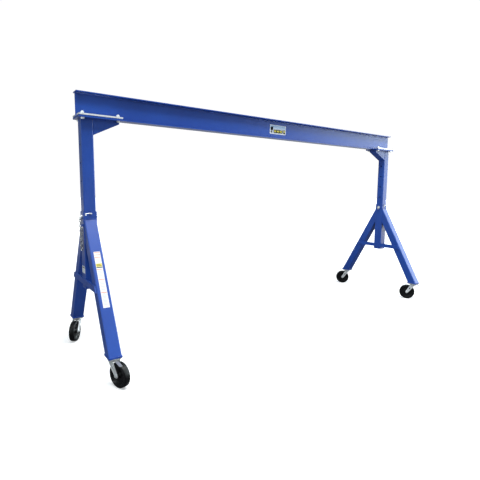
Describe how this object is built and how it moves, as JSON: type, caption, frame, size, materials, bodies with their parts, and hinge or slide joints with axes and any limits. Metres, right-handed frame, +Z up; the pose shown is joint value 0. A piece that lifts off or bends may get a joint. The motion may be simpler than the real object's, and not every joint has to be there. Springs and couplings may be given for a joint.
{
  "type": "portable gantry crane",
  "caption": "Portable gantry crane: I-beam bridge clamped on telescoping square-tube uprights with A-frame legs, lock pins and braked swivel casters",
  "frame": {"origin": "On the floor, under the middle of the beam, in the beam's middle plane", "axes": "+X along the beam towards the right end, +Y towards the rear, +Z up"},
  "size_m": [4.4475, 1.528, 2.327],
  "materials": {
    "blue_paint": "gloss",
    "zinc": "satin zinc plate",
    "steel": "bright",
    "wheel": "matte"
  },
  "bodies": {
    "bridge": {"beam": "blue_paint", "upright_left": "blue_paint", "mounting_plate_left": "blue_paint", "gusset_left": "blue_paint", "spacer_bars_left": "blue_paint", "clamp_bars_left": "zinc", "clamp_bolts_left": "zinc", "upright_right": "blue_paint", "mounting_plate_right": "blue_paint", "gusset_right": "blue_paint", "spacer_bars_right": "blue_paint", "clamp_bars_right": "zinc", "clamp_bolts_right": "zinc"},
    "base_left": {"sleeve_left": "blue_paint", "leg_front_left": "blue_paint", "leg_rear_left": "blue_paint", "brace_left": "blue_paint", "foot_plates_left": "blue_paint", "sleeve_fittings_left": "blue_paint", "caster_bolts_left": "zinc", "swivel_bearings_left": "steel", "caster_plate_front_left": "zinc", "caster_plate_rear_left": "zinc", "pin_chain_left": "zinc"},
    "pin_left": {"lock_pin_left": "zinc"},
    "screw_left": {"clamp_screw_left": "zinc"},
    "swivel_front_left": {"caster_fork_front_left": "zinc", "caster_axle_front_left": "zinc", "wheel_bushing_front_left": "steel"},
    "wheel_front_left": {"caster_wheel_front_left": "wheel"},
    "brake_front_left": {"brake_lever_front_left": "zinc"},
    "swivel_rear_left": {"caster_fork_rear_left": "zinc", "caster_axle_rear_left": "zinc", "wheel_bushing_rear_left": "steel"},
    "wheel_rear_left": {"caster_wheel_rear_left": "wheel"},
    "brake_rear_left": {"brake_lever_rear_left": "zinc"},
    "base_right": {"sleeve_right": "blue_paint", "leg_front_right": "blue_paint", "leg_rear_right": "blue_paint", "brace_right": "blue_paint", "foot_plates_right": "blue_paint", "sleeve_fittings_right": "blue_paint", "caster_bolts_right": "zinc", "swivel_bearings_right": "steel", "caster_plate_front_right": "zinc", "caster_plate_rear_right": "zinc"},
    "pin_right": {"lock_pin_right": "zinc"},
    "screw_right": {"clamp_screw_right": "zinc"},
    "swivel_front_right": {"caster_fork_front_right": "zinc", "caster_axle_front_right": "zinc", "wheel_bushing_front_right": "steel"},
    "wheel_front_right": {"caster_wheel_front_right": "wheel"},
    "brake_front_right": {"brake_lever_front_right": "zinc"},
    "swivel_rear_right": {"caster_fork_rear_right": "zinc", "caster_axle_rear_right": "zinc", "wheel_bushing_rear_right": "steel"},
    "wheel_rear_right": {"caster_wheel_rear_right": "wheel"},
    "brake_rear_right": {"brake_lever_rear_right": "zinc"}
  },
  "joints": [
    {"name": "height_left", "type": "slide", "parent": "bridge", "child": "base_left", "axis": [0, 0, 1], "range_m": [-0.3048, 0.6096]},
    {"name": "pin_pull_left", "type": "slide", "parent": "base_left", "child": "pin_left", "axis": [-1, 0, 0], "range_m": [0, 0.17]},
    {"name": "clamp_turn_left", "type": "hinge", "parent": "base_left", "child": "screw_left", "pos_m": [-2.127, -0.06, 1.314], "axis": [0, 1, 0], "range_deg": [-180, 180]},
    {"name": "swivel_front_left", "type": "hinge", "parent": "base_left", "child": "swivel_front_left", "pos_m": [-2.127, -0.579, 0.2], "axis": [0, 0, 1], "continuous": true},
    {"name": "spin_front_left", "type": "hinge", "parent": "swivel_front_left", "child": "wheel_front_left", "pos_m": [-2.10351, -0.65128, 0.1], "axis": [0.9511, 0.309, 0], "continuous": true},
    {"name": "brake_front_left", "type": "hinge", "parent": "base_left", "child": "brake_front_left", "pos_m": [-2.127, -0.631, 0.2135], "axis": [1, 0, 0], "range_deg": [0, 12]},
    {"name": "swivel_rear_left", "type": "hinge", "parent": "base_left", "child": "swivel_rear_left", "pos_m": [-2.127, 0.579, 0.2], "axis": [0, 0, 1], "continuous": true},
    {"name": "spin_rear_left", "type": "hinge", "parent": "swivel_rear_left", "child": "wheel_rear_left", "pos_m": [-2.16839, 0.51526, 0.1], "axis": [0.8387, -0.5446, 0], "continuous": true},
    {"name": "brake_rear_left", "type": "hinge", "parent": "base_left", "child": "brake_rear_left", "pos_m": [-2.127, 0.631, 0.2135], "axis": [-1, 0, 0], "range_deg": [0, 12]},
    {"name": "height_right", "type": "slide", "parent": "bridge", "child": "base_right", "axis": [0, 0, 1], "range_m": [-0.3048, 0.6096]},
    {"name": "pin_pull_right", "type": "slide", "parent": "base_right", "child": "pin_right", "axis": [-1, 0, 0], "range_m": [0, 0.17]},
    {"name": "clamp_turn_right", "type": "hinge", "parent": "base_right", "child": "screw_right", "pos_m": [2.127, -0.06, 1.314], "axis": [0, 1, 0], "range_deg": [-180, 180]},
    {"name": "swivel_front_right", "type": "hinge", "parent": "base_right", "child": "swivel_front_right", "pos_m": [2.127, -0.579, 0.2], "axis": [0, 0, 1], "continuous": true},
    {"name": "spin_front_right", "type": "hinge", "parent": "swivel_front_right", "child": "wheel_front_right", "pos_m": [2.09132, -0.5119, 0.1], "axis": [-0.8829, -0.4695, 0], "continuous": true},
    {"name": "brake_front_right", "type": "hinge", "parent": "base_right", "child": "brake_front_right", "pos_m": [2.127, -0.631, 0.2135], "axis": [1, 0, 0], "range_deg": [0, 12]},
    {"name": "swivel_rear_right", "type": "hinge", "parent": "base_right", "child": "swivel_rear_right", "pos_m": [2.127, 0.579, 0.2], "axis": [0, 0, 1], "continuous": true},
    {"name": "spin_rear_right", "type": "hinge", "parent": "swivel_rear_right", "child": "wheel_rear_right", "pos_m": [2.07326, 0.63274, 0.1], "axis": [-0.7071, -0.7071, 0], "continuous": true},
    {"name": "brake_rear_right", "type": "hinge", "parent": "base_right", "child": "brake_rear_right", "pos_m": [2.127, 0.631, 0.2135], "axis": [-1, 0, 0], "range_deg": [0, 12]}
  ]
}
